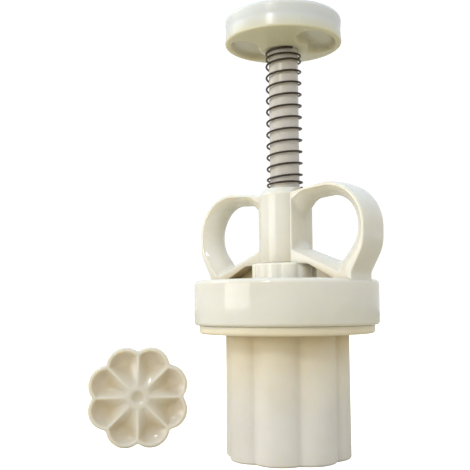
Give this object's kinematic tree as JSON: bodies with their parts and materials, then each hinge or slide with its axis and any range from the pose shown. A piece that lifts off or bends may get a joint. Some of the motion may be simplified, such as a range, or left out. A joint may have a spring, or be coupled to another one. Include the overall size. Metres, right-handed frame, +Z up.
{
  "type": "mooncake press",
  "caption": "Hand press for moulded cakes: lobed barrel, collar with finger loops, sprung plunger with a round knob, and flower stamps.",
  "frame": {"origin": "on the press axis in the plane of the barrel's mouth, on which the press stands", "axes": "+Z up along the press axis towards the knob; +X through the middle of a finger loop; +Y across the loops"},
  "size_m": [0.1126, 0.077, 0.171],
  "materials": {
    "barrel_plastic": "glossy ivory polypropylene, slightly translucent",
    "handle_plastic": "glossy ivory polypropylene, slightly translucent",
    "knob_plastic": "glossy ivory plastic",
    "rod_plastic": "satin grey-beige plastic",
    "spring_steel": "dark bright-drawn spring wire",
    "socket_plastic": "glossy ivory plastic, slightly whiter",
    "screw_steel": "zinc-plated steel",
    "stamp_plastic": "glossy cream plastic"
  },
  "bodies": {
    "barrel_body": {"barrel": "barrel_plastic"},
    "handle_body": {"handle": "handle_plastic", "return_spring": "spring_steel"},
    "plunger": {"push_knob": "knob_plastic", "push_rod": "rod_plastic", "stamp_socket": "socket_plastic", "socket_screw": "screw_steel"},
    "fitted_stamp": {"flower_stamp": "stamp_plastic"},
    "loose_stamp": {"spare_stamp": "stamp_plastic"}
  },
  "joints": [
    {"name": "handle_twist", "type": "hinge", "parent": "barrel_body", "child": "handle_body", "pos_m": [0, 0, 0.057], "axis": [0, 0, 1], "range_deg": [-66, 0]},
    {"name": "plunger_push", "type": "slide", "parent": "barrel_body", "child": "plunger", "axis": [0, 0, -1], "range_m": [0, 0.036], "stiffness_N_per_m": 450, "springref_m": -0.015, "deforming": ["return_spring"]},
    {"name": "stamp_pull", "type": "slide", "parent": "plunger", "child": "fitted_stamp", "axis": [0, 0, -1], "range_m": [0, 0.009]},
    {"name": "spare_stamp_lift", "type": "slide", "parent": "barrel_body", "child": "loose_stamp", "axis": [0, 0, 1], "range_m": [0, 0.05]}
  ]
}
